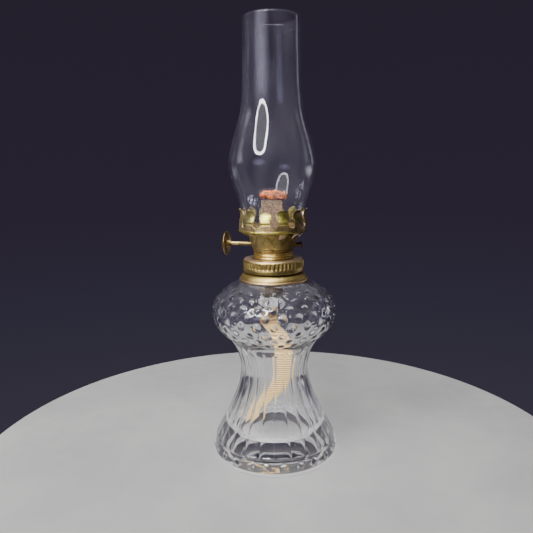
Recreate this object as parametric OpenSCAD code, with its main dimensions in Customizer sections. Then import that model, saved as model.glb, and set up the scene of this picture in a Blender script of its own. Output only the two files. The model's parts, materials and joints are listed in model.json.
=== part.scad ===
// Small flat-wick oil lamp: pressed glass font, screwed brass burner and glass chimney.
// Origin: centre of the foot's resting face. +Z up, millimetres.

/* [Glass font] */
// Radius of the foot at the table
foot_r = 30.7; // [30:0.1:31.5]
// Radius of the narrow waist of the stem
waist_r = 16.1; // [15.6:0.1:17]
// Widest radius of the bulb, over the hobnails
bulb_r = 29.7; // [29:0.1:30.4]
// Height of the bulb's widest point
bulb_z = 70; // [69:0.1:71]
// Radius of the filling neck's bore
neck_bore_r = 8.5; // [8.3:0.1:9]

/* [Collar and screw ring] */
// Outer radius of the collar's flange
flange_r = 16.3; // [15.8:0.1:16.8]
// Height of the flange's lower edge
flange_z = 85; // [84.9:0.1:85.3]
// Outer radius of the reeded screw ring
ring_r = 14.3; // [14:0.1:14.8]
// Height of the top of the screw ring
ring_top_z = 95.5; // [95.3:0.1:95.9]
// Number of reeds round the screw ring
reed_n = 48; // [24:1:60]

/* [Burner] */
// Radius of the burner's neck
throat_r = 9.2; // [9.1:0.1:9.4]
// Radius of the bowl's mouth
bowl_r = 12.1; // [11.8:0.1:12.4]
// Outer radius of the gallery at its bulge
gallery_r = 16.3; // [16.2:0.1:16.6]
// Height of the gallery's floor
gallery_z = 108; // [107.8:0.1:108.4]
// Number of petals round the gallery
petal_n = 12; // [8:1:14]
// Angle that the winder points away from the left, about Z
winder_angle = -14; // [-40:1:40]
// Thickness of the burner's sheet brass
sheet = 0.45; // [0.4:0.05:0.5]

/* [Wick and winder] */
// Width of the flat wick
wick_w = 9.4; // [9:0.1:9.5]
// Thickness of the wick
wick_t = 2; // [1.8:0.1:2]
// Height of the wick tube's rim
tube_top_z = 122.8; // [121:0.1:124]
// Height of the winder shaft
shaft_z = 101.6; // [101.4:0.1:102]
// Radius of the winder shaft
shaft_r = 0.95; // [0.8:0.05:1]
// Radius of the winder's thumb disc
knob_r = 5.9; // [5:0.1:6.5]
// Distance of the thumb disc from the lamp's axis
knob_reach = 24.1; // [22:0.1:25]

/* [Chimney] */
// Radius of the chimney's foot
chimney_foot_r = 14.55; // [14.3:0.05:14.6]
// Radius of the chimney's bulge
chimney_bulge_r = 20.35; // [19:0.1:22]
// Radius of the chimney's mouth
chimney_top_r = 12.8; // [12:0.1:13.2]
// Height of the chimney's rim
chimney_top_z = 203; // [198:0.5:208]
// Thickness of the chimney's glass
chimney_t = 1.1; // [0.9:0.1:1.3]

/* [Hidden] */
$fn = 96;

glass_tint = [0.86, 0.9, 0.9, 0.4];
brass = [0.62, 0.52, 0.26];
dark_brass = [0.42, 0.33, 0.18];

// Heights of the joints between the glass neck, the collar and the burner
neck_top_z = 92.8;
thread_bottom_z = flange_z + 4.1;
thread_top_z = 94;
thread_r = 12.4;
thread_pitch = 1.2;
thread_depth = 0.2;
thread_gap = 0.3;
plate_z = thread_top_z + 0.1;
plate_r = 11.6;
bowl_z = 98.7;
bowl_floor_r = 9.5;
knob_t = 0.7;

// Fits: radial play of the shaft in its holes, and the play of the wick in its tube
shaft_play = 0.05;
wick_play = [0.25, 0.2];
tube_wall = 0.4;
tube_in = [wick_w / 2 + wick_play[0], wick_t / 2 + wick_play[1]];
tube_out = [tube_in[0] + tube_wall, tube_in[1] + tube_wall];
tube_bottom_z = 88;

// Spur wheels: they bite the wick's back through slots in the tube
wheel_r = 2.7;
wheel_root_r = 1.9;
wheel_t = 0.6;
wheel_teeth = 10;
wheel_x = 2.6;
shaft_y = wick_t / 2 + 0.1 + wheel_r;
shaft_end_x = 13.2;

// A smooth curve through knots, with a number of points in each span
function span(a, b, c, d, t) =
    0.5 * (2 * b + (c - a) * t + (2 * a - 5 * b + 4 * c - d) * t * t
    + (3 * b - a - 3 * c + d) * t * t * t);
function curve(k, steps = 5) = let (n = len(k)) concat(
    [for (i = [0 : n - 2], j = [0 : steps - 1])
        span(k[max(i - 1, 0)], k[i], k[i + 1], k[min(i + 2, n - 1)], j / steps)],
    [k[n - 1]]
);
// The same path moved sideways, to its left as it climbs
function inward(p, t) = [for (i = [0 : len(p) - 1])
    let (d = p[min(i + 1, len(p) - 1)] - p[max(i - 1, 0)])
    p[i] + t * [-d[1], d[0]] / norm(d)];
function reversed(p) = [for (i = [len(p) - 1 : -1 : 0]) p[i]];
// The outline of a sheet of thickness t whose outer face follows a path
function sheet_outline(p, t) = concat(p, reversed(inward(p, t)));

module revolve(points) {
    rotate_extrude() polygon(points);
}

// Places its children n times round the lamp's axis
module around(n, start = 0) {
    for (i = [0 : n - 1]) rotate([0, 0, start + i * 360 / n]) children();
}

// Turns the burner's own frame, whose X runs along the winder shaft, into the lamp's
module winder_frame() {
    rotate([0, 0, winder_angle]) children();
}

// A cylinder along X
module rod_x(r, x0, x1) {
    translate([x0, shaft_y, shaft_z]) rotate([0, 90, 0]) cylinder(r = r, h = x1 - x0, $fn = 48);
}

module rounded_rectangle(half, r) {
    square([2 * half[0], 2 * (half[1] - r)], center = true);
    square([2 * (half[0] - r), 2 * half[1]], center = true);
    for (sx = [-1, 1], sy = [-1, 1])
        translate([sx * (half[0] - r), sy * (half[1] - r)]) circle(r = r, $fn = 32);
}

// ---------- glass ----------

glass_outer = concat(
    [[foot_r - 4.2, 0], [foot_r - 0.6, 0]],
    curve([
        [foot_r, 0.8], [foot_r - 0.3, 3.4], [foot_r - 1.6, 8], [27.2, 12], [22, 22.2],
        [17.7, 32.3], [waist_r, 42], [17.2, 48.8], [19.9, 55], [25.1, 60], [28.7, 65],
        [bulb_r, bulb_z], [28.7, 75.2], [24.7, 80.2], [20.3, 83.2], [15.5, 84.6],
        [12, 85.6], [11, 87.4]
    ]),
    [[11, neck_top_z]]
);
glass_inner = curve([
    [neck_bore_r, neck_top_z], [neck_bore_r, 88.4], [10, 86], [14.5, 83], [21.2, 79],
    [25.2, 74.8], [26.3, bulb_z], [25.4, 65.6], [21.8, 61], [16.4, 56], [13.6, 50],
    [12.3, 43], [13.2, 35], [17.2, 25.5], [20.9, 17.6], [21.6, 13.2], [18.6, 10.4],
    [12, 9.6], [0, 9.5]
]);
foot_hollow = [[0, 3.2], [14, 2.8], [24, 1.4]];

module glass_font() {
    color(glass_tint)
    revolve(concat(glass_outer, glass_inner, foot_hollow));
}

chimney_outer = curve([
    [chimney_foot_r, gallery_z + 1], [chimney_foot_r, 115.4], [15.1, 119], [16.2, 124.4],
    [18.8, 130.8], [chimney_bulge_r, 139.4], [18.2, 150], [14.6, 162.4], [13.4, 174],
    [chimney_top_r + 0.2, 190], [chimney_top_r, chimney_top_z]
]);

module chimney() {
    color(glass_tint)
    revolve(sheet_outline(chimney_outer, chimney_t));
}

// ---------- collar ----------

collar_flare = curve([
    [flange_r - 0.1, flange_z + 0.1], [flange_r, flange_z + 0.7], [flange_r - 0.7, flange_z + 2],
    [flange_r - 1.9, flange_z + 3.3], [flange_r - 3.2, flange_z + 3.9], [thread_r - 0.2, thread_bottom_z]
], 4);

module collar() {
    color(brass) {
        revolve(sheet_outline(concat(collar_flare, [[thread_r - 0.2, thread_top_z]]), 0.5));
        // rolled thread, drawn as rings
        for (z = [thread_bottom_z + 0.9 : thread_pitch : thread_top_z - 0.5])
            revolve([
                [thread_r - 0.25, z - 0.45], [thread_r + thread_depth - 0.1, z],
                [thread_r - 0.25, z + 0.45]
            ]);
    }
}

module collar_cement() {
    color("gainsboro")
    revolve([
        [11.1, 87.6], [12.3, 86.2], [15, 85.35], [15.2, 85.9], [14, 87.4], [12.4, 88.3],
        [11.6, 88.8], [11.6, neck_top_z - 0.3], [11.1, neck_top_z - 0.3]
    ]);
}

// ---------- burner ----------

ring_bottom_z = 89.5;
ring_bore_r = thread_r + thread_depth + thread_gap;
ring_lip_r = throat_r + 0.7;

module screw_ring() {
    color(brass) {
        revolve([
            [ring_bore_r, ring_bottom_z], [ring_r - 0.1, ring_bottom_z],
            [ring_r, ring_bottom_z + 0.3], [ring_r, ring_top_z - 0.9],
            [ring_r - 0.25, ring_top_z - 0.35], [ring_r - 0.8, ring_top_z],
            [ring_lip_r, ring_top_z], [ring_lip_r, ring_top_z - 0.5],
            [ring_bore_r, ring_top_z - 0.5]
        ]);
        around(reed_n)
            translate([ring_r - 0.1, 0, ring_bottom_z + 2.1]) cylinder(r = 0.34, h = 3, $fn = 24);
    }
}

module base_plate() {
    color(dark_brass)
    difference() {
        translate([0, 0, plate_z]) cylinder(r = plate_r, h = 0.5);
        winder_frame() {
            translate([0, 0, plate_z - 1])
                linear_extrude(3) rounded_rectangle(tube_out + [0.02, 0.02], 0.9);
            translate([0, vent_y, plate_z - 1]) cylinder(r = vent_r + 0.02, h = 3, $fn = 32);
        }
    }
}

// Neck of the burner, a drawn tube with three rolled beads
module burner_neck() {
    color(brass)
    difference() {
        union() {
            translate([0, 0, plate_z + 0.5])
                cylinder(r = throat_r - 0.15, h = bowl_z - plate_z - 0.5);
            for (z = [plate_z + 2.0 : 0.95 : bowl_z - 0.4])
                translate([0, 0, z]) rotate_extrude()
                    translate([throat_r - 0.25, 0]) circle(r = 0.35, $fn = 24);
        }
        translate([0, 0, plate_z]) cylinder(r = throat_r - 0.15 - sheet, h = 10);
    }
}

// The bowl's side: it leans out in a slight curve, with a lip below that sits on the neck
lip_r = throat_r - 0.15 - sheet;
bowl_side = curve([
    [bowl_floor_r, bowl_z + 0.6], [10.2, bowl_z + 3], [11.1, bowl_z + 6],
    [bowl_r, gallery_z - 0.3], [bowl_r, gallery_z]
], 4);
bowl_outline = concat(
    [[lip_r, bowl_z], [bowl_floor_r - 0.5, bowl_z]], bowl_side,
    [for (p = reversed(bowl_side)) [p[0] - sheet, max(p[1], bowl_z + 0.9)]],
    [[bowl_floor_r - 0.8, bowl_z + sheet], [lip_r, bowl_z + sheet]]
);

module burner_bowl() {
    color(brass)
    difference() {
        revolve(bowl_outline);
        winder_frame() rod_x(shaft_r + shaft_play, -20, 20);
    }
}

module air_plate() {
    color(dark_brass)
    difference() {
        translate([0, 0, 106.4]) cylinder(r = bowl_r - sheet - 0.6, h = 0.4);
        winder_frame() translate([0, 0, 105])
            linear_extrude(3) rounded_rectangle(tube_out + [0.02, 0.02], 0.9);
        around(20) translate([9.9, 0, 105]) cylinder(r = 0.7, h = 3, $fn = 24);
        around(14, 12.9) translate([7.4, 0, 105]) cylinder(r = 0.6, h = 3, $fn = 24);
    }
}

module wick_tube() {
    color([0.45, 0.38, 0.32])
    winder_frame() difference() {
        translate([0, 0, tube_bottom_z])
            linear_extrude(tube_top_z - tube_bottom_z) rounded_rectangle(tube_out, 0.9);
        translate([0, 0, tube_bottom_z - 1])
            linear_extrude(tube_top_z - tube_bottom_z + 2) rounded_rectangle(tube_in, 0.5);
        // slots that the spur wheels reach through
        for (x = [-wheel_x, wheel_x])
            translate([x - wheel_t, 0.5, shaft_z - 2.1]) cube([2 * wheel_t, 3, 4.2]);
    }
}

vent_r = 1.1;
vent_y = 5.6;

module vent_tube() {
    color(brass)
    winder_frame() difference() {
        translate([0, vent_y, 90]) cylinder(r = vent_r, h = 7.6, $fn = 32);
        translate([0, vent_y, 89]) cylinder(r = vent_r - 0.35, h = 10, $fn = 32);
    }
}

// Case that holds the spur wheels against the tube
housing_half_w = 4.3;
housing_y = tube_out[1];
housing_depth = 5.4;
housing_z = [shaft_z - 3.3, shaft_z + 3.3];

module spur_housing() {
    color(dark_brass)
    winder_frame() difference() {
        translate([-housing_half_w, housing_y, housing_z[0]])
            cube([2 * housing_half_w, housing_depth, housing_z[1] - housing_z[0]]);
        translate([-housing_half_w + sheet, housing_y - 1, housing_z[0] + sheet])
            cube([
                2 * (housing_half_w - sheet), housing_depth + 1 - sheet,
                housing_z[1] - housing_z[0] - 2 * sheet
            ]);
        rod_x(shaft_r + shaft_play, -10, 10);
    }
}

module winder_shaft() {
    color(brass)
    winder_frame() rod_x(shaft_r, -knob_reach + 0.5, shaft_end_x);
}

module spur_wheel(x) {
    color(dark_brass)
    winder_frame() translate([x - wheel_t / 2, shaft_y, shaft_z]) rotate([0, 90, 0])
        linear_extrude(wheel_t) difference() {
            union() {
                circle(r = wheel_root_r, $fn = 48);
                for (i = [0 : wheel_teeth - 1]) rotate(i * 360 / wheel_teeth)
                    polygon([[0, -0.65], [wheel_r, -0.12], [wheel_r, 0.12], [0, 0.65]]);
            }
            circle(r = shaft_r, $fn = 48);
        }
}

module left_spur_wheel() {
    spur_wheel(-wheel_x);
}

module right_spur_wheel() {
    spur_wheel(wheel_x);
}

// Small ring riveted on the shaft's far end
module shaft_retainer() {
    color(dark_brass)
    winder_frame() difference() {
        rod_x(1.5, 12.1, 12.9);
        rod_x(shaft_r, 10, 14);
    }
}

// Thumb disc, dished, with a conical boss on the lamp's side
module winder_knob() {
    color(brass)
    winder_frame() translate([-knob_reach, shaft_y, shaft_z]) rotate([0, 90, 0])
        difference() {
            rotate_extrude() polygon([
                [0, -knob_t], [knob_r - 0.9, -knob_t], [knob_r, 0], [knob_r - 0.1, 0.35],
                [knob_r - 0.9, 0.2], [knob_r - 1.8, 0], [2.6, 0], [1.6, 1], [1.3, 2.6], [0, 2.6]
            ]);
            translate([0, 0, 0.5]) cylinder(r = shaft_r, h = 5, $fn = 48);
        }
}

// ---------- gallery ----------

petal_h = 11;
gap_r = 1.95;
gap_neck = 1.05;
petal_pitch = 2 * PI * (gallery_r - 0.7) / petal_n;
petal_r = petal_pitch / 2 - gap_neck;
gallery_wall = concat([[bowl_r - 0.3, gallery_z]], curve([
    [gallery_r - 1.5, gallery_z], [gallery_r - 0.4, gallery_z + 0.3], [gallery_r - 0.1, gallery_z + 1.2],
    [gallery_r, gallery_z + 3.4], [gallery_r - 0.4, gallery_z + 5.4], [gallery_r - 0.95, gallery_z + 7.8],
    [gallery_r - 0.85, gallery_z + 9.6], [gallery_r - 0.5, gallery_z + petal_h]
], 3));

// Half of the notch between two round petal tops
petal_notch = [for (a = [0 : 15 : 75])
    [petal_pitch / 2 - petal_r * cos(a), gallery_z + petal_h - petal_r * (1 - sin(a))]];

module gallery() {
    gap_z = gallery_z + 4.6;
    color(brass) {
        difference() {
            revolve(sheet_outline(gallery_wall, sheet));
            // keyhole gaps that part the petals
            around(petal_n, 2 - 90) rotate([90, 0, 90]) {
                translate([0, gap_z, 10]) cylinder(r = gap_r, h = 10, $fn = 32);
                translate([-gap_neck, gap_z, 10]) cube([2 * gap_neck, 10, 10]);
                for (m = [0, 1]) mirror([m, 0, 0]) translate([0, 0, 10]) linear_extrude(10)
                    polygon(concat(
                        [[0, petal_notch[0][1]]], petal_notch,
                        [[petal_notch[5][0], gallery_z + petal_h + 1], [0, gallery_z + petal_h + 1]]
                    ));
            }
            // draught slots in the floor
            around(petal_n, 17 - 90)
                translate([12.4, -1.45, gallery_z - 1]) cube([2.3, 2.9, 3]);
        }
        // tabs cut from the slots and bent down
        around(petal_n, 17 - 90)
            translate([14.85, -1.45, gallery_z + 0.2]) rotate([0, 125, 0]) cube([2.6, 2.9, sheet]);
    }
}

// ---------- wick ----------

wick_bottom_z = 12.5;
wick_top_z = tube_top_z + 0.15;
// Sideways place of the hanging wick at a height
function smooth(t) = let (u = min(max(t, 0), 1)) u * u * (3 - 2 * u);
function wick_x(z) = 1.5 * smooth((tube_bottom_z - 1 - z) / 40) - 4.4 * smooth((42 - z) / 26);
wick_steps = [for (i = [0 : 24]) wick_bottom_z + (tube_bottom_z - 1 - wick_bottom_z) * i / 24];

module wick() {
    color([0.86, 0.78, 0.6])
    winder_frame() rotate([90, 0, 0]) linear_extrude(wick_t, center = true) polygon(concat(
        [for (z = wick_steps) [wick_x(z) + wick_w / 2, z]],
        [[wick_w / 2, wick_top_z], [-wick_w / 2, wick_top_z]],
        [for (z = reversed(wick_steps)) [wick_x(z) - wick_w / 2, z]]
    ));
}

// Burnt crust on the end of the wick: x, y, radius and height of each lump
char_lumps = [
    [-5.4, 0.2, 2.2, 2.4], [-3.2, -0.3, 2.3, 2], [-0.8, 0.3, 2.1, 2.1], [1.6, -0.2, 2.3, 2.2],
    [4.2, 0.1, 2.2, 2.1]
];

module charred_wick_end() {
    color([0.62, 0.3, 0.16])
    winder_frame() intersection() {
        union() {
            for (c = char_lumps)
                translate([c[0], c[1], wick_top_z + c[3]]) sphere(r = c[2], $fn = 32);
            translate([-5.4, -1.6, wick_top_z]) cube([9.8, 3.2, 3]);
        }
        translate([-10, -10, wick_top_z]) cube([20, 20, 20]);
    }
}

glass_font();
collar_cement();
collar();
screw_ring();
base_plate();
burner_neck();
burner_bowl();
air_plate();
wick_tube();
vent_tube();
spur_housing();
winder_shaft();
left_spur_wheel();
right_spur_wheel();
shaft_retainer();
winder_knob();
gallery();
wick();
charred_wick_end();
chimney();
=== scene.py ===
"""A small oil lamp: hobnailed glass font, brass burner with a petal gallery, and a glass chimney."""
import json
import math

import bpy
import numpy as np
from mathutils import Matrix, Vector, noise


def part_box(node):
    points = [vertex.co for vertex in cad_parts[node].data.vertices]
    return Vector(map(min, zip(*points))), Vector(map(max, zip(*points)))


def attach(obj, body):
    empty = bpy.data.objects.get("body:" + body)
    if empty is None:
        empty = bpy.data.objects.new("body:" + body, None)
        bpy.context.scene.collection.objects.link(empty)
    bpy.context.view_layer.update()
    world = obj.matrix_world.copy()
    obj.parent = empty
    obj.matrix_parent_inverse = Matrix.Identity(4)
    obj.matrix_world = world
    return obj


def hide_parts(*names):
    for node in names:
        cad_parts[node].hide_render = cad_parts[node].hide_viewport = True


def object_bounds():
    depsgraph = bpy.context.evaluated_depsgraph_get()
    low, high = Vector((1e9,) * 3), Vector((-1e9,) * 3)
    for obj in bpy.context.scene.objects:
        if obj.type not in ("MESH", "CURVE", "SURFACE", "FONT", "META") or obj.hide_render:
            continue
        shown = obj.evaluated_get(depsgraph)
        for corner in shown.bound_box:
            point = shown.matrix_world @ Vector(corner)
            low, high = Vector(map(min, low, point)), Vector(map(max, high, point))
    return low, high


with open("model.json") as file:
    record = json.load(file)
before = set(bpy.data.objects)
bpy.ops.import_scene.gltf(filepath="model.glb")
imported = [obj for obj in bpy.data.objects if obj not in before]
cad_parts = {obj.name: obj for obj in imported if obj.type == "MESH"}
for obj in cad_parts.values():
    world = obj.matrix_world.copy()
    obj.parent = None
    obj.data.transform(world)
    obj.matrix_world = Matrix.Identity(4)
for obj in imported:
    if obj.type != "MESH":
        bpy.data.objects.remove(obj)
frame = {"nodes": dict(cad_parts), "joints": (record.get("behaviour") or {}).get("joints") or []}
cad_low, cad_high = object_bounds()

MM = 0.001
TURN = 2 * math.pi
FRONT = -math.pi / 2      # the angle round the lamp that faces the camera

# ---------- places, from the frame ----------

collar_low, collar_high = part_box("collar")
ring_low, ring_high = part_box("screw_ring")
bowl_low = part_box("burner_bowl")[0]
gallery_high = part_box("gallery")[1]
tube_low, tube_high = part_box("wick_tube")
wick_low, wick_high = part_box("wick")
crust_low, crust_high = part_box("charred_wick_end")
knob_low, knob_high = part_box("winder_knob")

joints = {joint["name"]: joint for joint in frame["joints"]}
SHAFT_AXIS = Vector(joints["winder_turn"]["axis"])
SHAFT_POINT = Vector(joints["winder_turn"]["pos_m"])
RAISE = joints["wick_raise"]["range_m"][1]
# the burner's own X axis runs along the shaft, away from the thumb disc
BURNER_X = -SHAFT_AXIS
BURNER_Y = Vector((0, 0, 1)).cross(BURNER_X)

# ---------- mesh building ----------


class Skin:
    """Rings of points round the lamp's axis, and the faces that join them."""

    def __init__(self):
        self.points = []
        self.marks = []
        self.faces = []
        self.count = 0

    def ring(self, xyz, mark=0.0):
        xyz = np.asarray(xyz, float)
        start = self.count
        self.points.append(xyz)
        self.marks.append(np.broadcast_to(np.asarray(mark, float), (len(xyz),)))
        self.count += len(xyz)
        return start, len(xyz)

    def join(self, a, b):
        """Faces between two closed rings.

        Either may be a single point, or have a whole number of times the points of the other.
        """
        (sa, na), (sb, nb) = a, b
        if na == nb:
            for j in range(na):
                k = (j + 1) % na
                self.faces.append((sa + j, sa + k, sb + k, sb + j))
        elif nb == 1:
            for j in range(na):
                self.faces.append((sa + j, sa + (j + 1) % na, sb))
        elif na == 1:
            for j in range(nb):
                self.faces.append((sa, sb + (j + 1) % nb, sb + j))
        elif na > nb:
            many = na // nb
            for i in range(nb):
                for j in range(i * many, (i + 1) * many):
                    self.faces.append((sa + j, sa + (j + 1) % na, sb + i))
                self.faces.append((sa + (i + 1) * many % na, sb + (i + 1) % nb, sb + i))
        else:
            many = nb // na
            for i in range(na):
                self.faces.append((sa + i, sa + (i + 1) % na, sb + (i + 1) * many % nb))
                for j in range(i * many, (i + 1) * many):
                    self.faces.append((sb + (j + 1) % nb, sb + j, sa + i))

    def strip(self, rings):
        """Faces between each ring and the next."""
        for a, b in zip(rings, rings[1:]):
            self.join(a, b)

    def build(self, name, sharp):
        return new_mesh(name, np.concatenate(self.points), self.faces,
                        np.concatenate(self.marks), sharp)


def new_mesh(name, points, faces, marks, sharp=None):
    """A smooth-shaded mesh object, with marks as the point attribute that materials read as height."""
    mesh = bpy.data.meshes.new(name)
    mesh.from_pydata(np.asarray(points, float).tolist(), [], faces)
    mesh.polygons.foreach_set("use_smooth", [True] * len(mesh.polygons))
    attribute = mesh.attributes.new("height", "FLOAT", "POINT")
    attribute.data.foreach_set("value", np.asarray(marks, np.float32))
    mesh.validate()
    if sharp is not None:
        mesh.set_sharp_from_angle(angle=math.radians(sharp))
    piece = bpy.data.objects.new(name, mesh)
    bpy.context.scene.collection.objects.link(piece)
    return piece


def curve(knots, steps=6):
    """A smooth curve through the knots."""
    k = np.asarray(knots, float)
    out = []
    for i in range(len(k) - 1):
        a, b, c, d = k[max(i - 1, 0)], k[i], k[i + 1], k[min(i + 2, len(k) - 1)]
        for j in range(steps):
            t = j / steps
            out.append(0.5 * (2 * b + (c - a) * t + (2 * a - 5 * b + 4 * c - d) * t * t
                              + (3 * b - a - 3 * c + d) * t ** 3))
    out.append(k[-1])
    return np.array(out)


def along(path):
    """The distance along a path at each of its points."""
    return np.concatenate([[0], np.cumsum(np.linalg.norm(np.diff(path, axis=0), axis=1))])


def spaced(path, step):
    """The path again, with points about step apart."""
    s = along(path)
    at = np.linspace(0, s[-1], max(2, int(round(s[-1] / step)) + 1))
    return np.stack([np.interp(at, s, path[:, k]) for k in range(path.shape[1])], axis=1)


def softened(path, times=2):
    """The path with its corners eased and its ends kept."""
    p = path.copy()
    for _ in range(times):
        p[1:-1] = 0.25 * p[:-2] + 0.5 * p[1:-1] + 0.25 * p[2:]
    return p


def normals(path):
    """Unit normals of an (r, z) path, outward where it climbs."""
    d = np.gradient(path, axis=0)
    d /= np.maximum(np.linalg.norm(d, axis=1, keepdims=True), 1e-12)
    return np.stack([d[:, 1], -d[:, 0]], axis=1)


def wall(node, side, low=-1.0, high=1.0):
    """The (r, z) points of a turned CAD node's wall between two heights, lowest first.

    side is 1 for its outer wall and -1 for its inner one. Only the front is read, clear of the shaft's holes.
    """
    mesh = frame["nodes"][node].data
    found = {}
    for p in mesh.polygons:
        c, n = p.center, p.normal
        around = math.hypot(c.x, c.y)
        if c.y < -0.8 * around and side * (n.x * c.x + n.y * c.y) > 0.02 * around:
            for v in p.vertices:
                co = mesh.vertices[v].co
                if low <= co.z <= high:
                    found.setdefault(round(co.z, 5), []).append(math.hypot(co.x, co.y))
    return np.array([(np.mean(found[z]), z) for z in sorted(found)])


def smooth(t):
    """An eased step, from 0 at 0 to 1 at 1."""
    t = np.clip(t, 0, 1)
    return t * t * (3 - 2 * t)


def swept(r, z, angles):
    """Points at radius r and height z, at each of the angles."""
    return np.stack(np.broadcast_arrays(r * np.cos(angles), r * np.sin(angles), z), axis=-1)


def lathe(name, path, columns, relief=None, closed=False, mark=None, sharp=40):
    """Turns an (r, z) path round the axis.

    relief(angles, s, r, z) moves the skin along its normal. Materials read it as height, unless mark, which
    is called the same way, gives another.
    """
    n, s = normals(path), along(path)
    angles = np.arange(columns) / columns * TURN
    skin = Skin()
    rings = []
    for i, (r, z) in enumerate(path):
        if r < 1e-6:
            rings.append(skin.ring([(0, 0, z)]))
            continue
        h = np.zeros(columns) if relief is None else relief(angles, s[i], r, z)
        shade = h if mark is None else mark(angles, s[i], r, z)
        rr, zz = r + h * n[i, 0], z + h * n[i, 1]
        rings.append(skin.ring(swept(rr, zz, angles), shade))
    skin.strip(rings)
    if closed:
        skin.join(rings[-1], rings[0])
    return skin.build(name, sharp)


def finished(piece, body, slot, look, *nodes):
    """Gives a piece its material, and puts it on its body in place of its CAD nodes. Its slot is not used."""
    piece.data.materials.clear()
    piece.data.materials.append(look)
    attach(piece, body)
    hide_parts(*nodes)


# ---------- materials ----------


class Nodes:
    """Short calls for a node tree."""

    def __init__(self, tree):
        self.tree = tree

    def add(self, kind):
        return self.tree.nodes.new(kind)

    def put(self, socket, value):
        if isinstance(value, bpy.types.NodeSocket):
            self.tree.links.new(value, socket)
        elif isinstance(value, tuple) and len(value) == 3 and socket.type == "RGBA":
            socket.default_value = (*value, 1)
        else:
            socket.default_value = value

    def vectors(self, operation, a, b):
        n = self.add("ShaderNodeVectorMath")
        n.operation = operation
        self.put(n.inputs[0], a)
        self.put(n.inputs[1], b)
        return n.outputs

    def distance(self, a, place):
        return self.vectors("DISTANCE", a, place)["Value"]

    def range(self, value, low, high, to_low=0.0, to_high=1.0):
        n = self.add("ShaderNodeMapRange")
        n.interpolation_type = "SMOOTHSTEP"
        for socket, v in zip(n.inputs, (value, low, high, to_low, to_high)):
            self.put(socket, v)
        return n.outputs["Result"]

    def maths(self, operation, a, b):
        n = self.add("ShaderNodeMath")
        n.operation = operation
        self.put(n.inputs[0], a)
        self.put(n.inputs[1], b)
        return n.outputs[0]

    def mix(self, share, a, b):
        n = self.add("ShaderNodeMix")
        n.data_type = "RGBA"
        self.put(n.inputs[0], share)
        self.put(n.inputs[6], a)
        self.put(n.inputs[7], b)
        return n.outputs[2]


class Look(Nodes):
    """A material and its node tree. Lengths in its textures are in millimetres."""

    def __init__(self, name):
        self.material = bpy.data.materials.new(name)
        self.material.use_nodes = True
        super().__init__(self.material.node_tree)
        self.tree.nodes.clear()
        self.out = self.add("ShaderNodeOutputMaterial")
        place = self.add("ShaderNodeTexCoord").outputs["Object"]
        self.mm = self.vectors("MULTIPLY", place, (1000, 1000, 1000))[0]

    def noise(self, size, detail=3, rough=0.55, distort=0.0, vector=None):
        n = self.add("ShaderNodeTexNoise")
        self.put(n.inputs["Vector"], vector or self.mm)
        n.inputs["Scale"].default_value = 1 / size
        n.inputs["Detail"].default_value = detail
        n.inputs["Roughness"].default_value = rough
        n.inputs["Distortion"].default_value = distort
        return n.outputs["Fac"]

    def cells(self, size):
        n = self.add("ShaderNodeTexVoronoi")
        self.put(n.inputs["Vector"], self.mm)
        n.inputs["Scale"].default_value = 1 / size
        return n.outputs["Distance"]

    def stretched(self, x, y, z):
        return self.vectors("MULTIPLY", self.mm, (x, y, z))[0]

    def part(self, axis):
        n = self.add("ShaderNodeSeparateXYZ")
        self.put(n.inputs[0], self.mm)
        return n.outputs[axis]

    def mark(self):
        n = self.add("ShaderNodeAttribute")
        n.attribute_name = "height"
        return n.outputs["Fac"]

    def bump(self, height, depth_mm, normal=None):
        n = self.add("ShaderNodeBump")
        n.inputs["Strength"].default_value = 1.0
        n.inputs["Distance"].default_value = depth_mm * MM
        self.put(n.inputs["Height"], height)
        if normal is not None:
            self.put(n.inputs["Normal"], normal)
        return n.outputs["Normal"]

    def surface(self, **settings):
        shader = self.add("ShaderNodeBsdfPrincipled")
        for key, value in settings.items():
            self.put(shader.inputs[key.replace("_", " ")], value)
        self.put(self.out.inputs["Surface"], shader.outputs["BSDF"])
        return shader


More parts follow.
